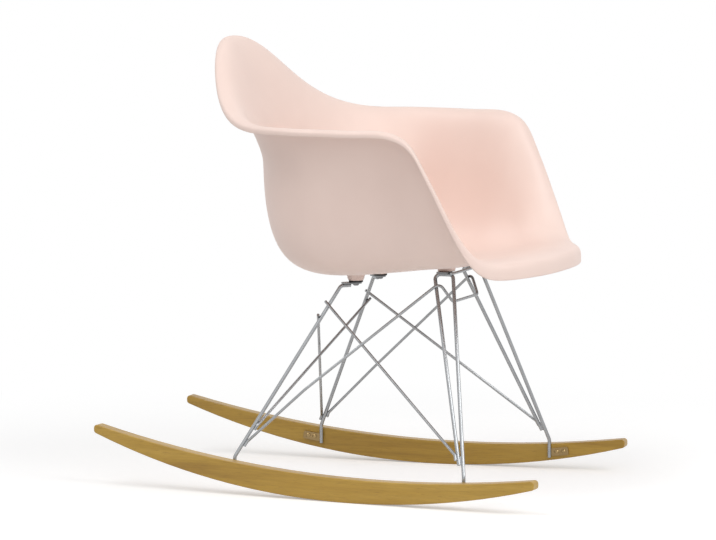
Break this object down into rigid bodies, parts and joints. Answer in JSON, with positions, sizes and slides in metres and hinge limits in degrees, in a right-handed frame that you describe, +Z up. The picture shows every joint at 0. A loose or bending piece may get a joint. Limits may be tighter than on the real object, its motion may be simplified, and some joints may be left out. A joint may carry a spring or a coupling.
{
  "type": "rocking armchair",
  "caption": "Armchair with a moulded plastic bucket seat on a welded wire base that rocks on two curved wooden runners.",
  "frame": {"origin": "on the floor, below the middle of the chair's overall length and width", "axes": "+Z up, -Y the way the sitter faces, so that +Y is the back; X is the width, with the sitter's right at -X"},
  "size_m": [0.6232, 0.8116, 0.761],
  "materials": {
    "shell_plastic": "satin, pale rose, moulded",
    "rocker_wood": "clear lacquered light hardwood, grain along the runner",
    "chromed_wire": "bright chromed round wire",
    "steel_plate": "chromed flat steel",
    "screw_steel": "zinc plated",
    "insert_brass": "plain turned brass",
    "pad_rubber": "matt black"
  },
  "bodies": {
    "root": {"cradle_wire": "chromed_wire", "foot_plate_front_left": "steel_plate", "foot_plate_front_right": "steel_plate", "foot_plate_rear_left": "steel_plate", "foot_plate_rear_right": "steel_plate", "foot_screw_front_left_1": "screw_steel", "foot_screw_front_left_2": "screw_steel", "foot_screw_front_right_1": "screw_steel", "foot_screw_front_right_2": "screw_steel", "foot_screw_rear_left_1": "screw_steel", "foot_screw_rear_left_2": "screw_steel", "foot_screw_rear_right_1": "screw_steel", "foot_screw_rear_right_2": "screw_steel", "front_cross_rod": "chromed_wire", "front_leg_left": "chromed_wire", "front_leg_right": "chromed_wire", "mount_pad_front_left": "pad_rubber", "mount_pad_front_right": "pad_rubber", "mount_pad_rear_left": "pad_rubber", "mount_pad_rear_right": "pad_rubber", "mount_plate_front_left": "steel_plate", "mount_plate_front_right": "steel_plate", "mount_plate_rear_left": "steel_plate", "mount_plate_rear_right": "steel_plate", "mount_screw_front_left": "screw_steel", "mount_screw_front_right": "screw_steel", "mount_screw_rear_left": "screw_steel", "mount_screw_rear_right": "screw_steel", "rear_brace_left": "chromed_wire", "rear_brace_right": "chromed_wire", "rear_leg_left": "chromed_wire", "rear_leg_right": "chromed_wire", "rocker_left": "rocker_wood", "rocker_right": "rocker_wood", "seat_shell": "shell_plastic", "side_brace_left": "chromed_wire", "side_brace_right": "chromed_wire", "threaded_insert_front_left": "insert_brass", "threaded_insert_front_right": "insert_brass", "threaded_insert_rear_left": "insert_brass", "threaded_insert_rear_right": "insert_brass"}
  },
  "joints": []
}
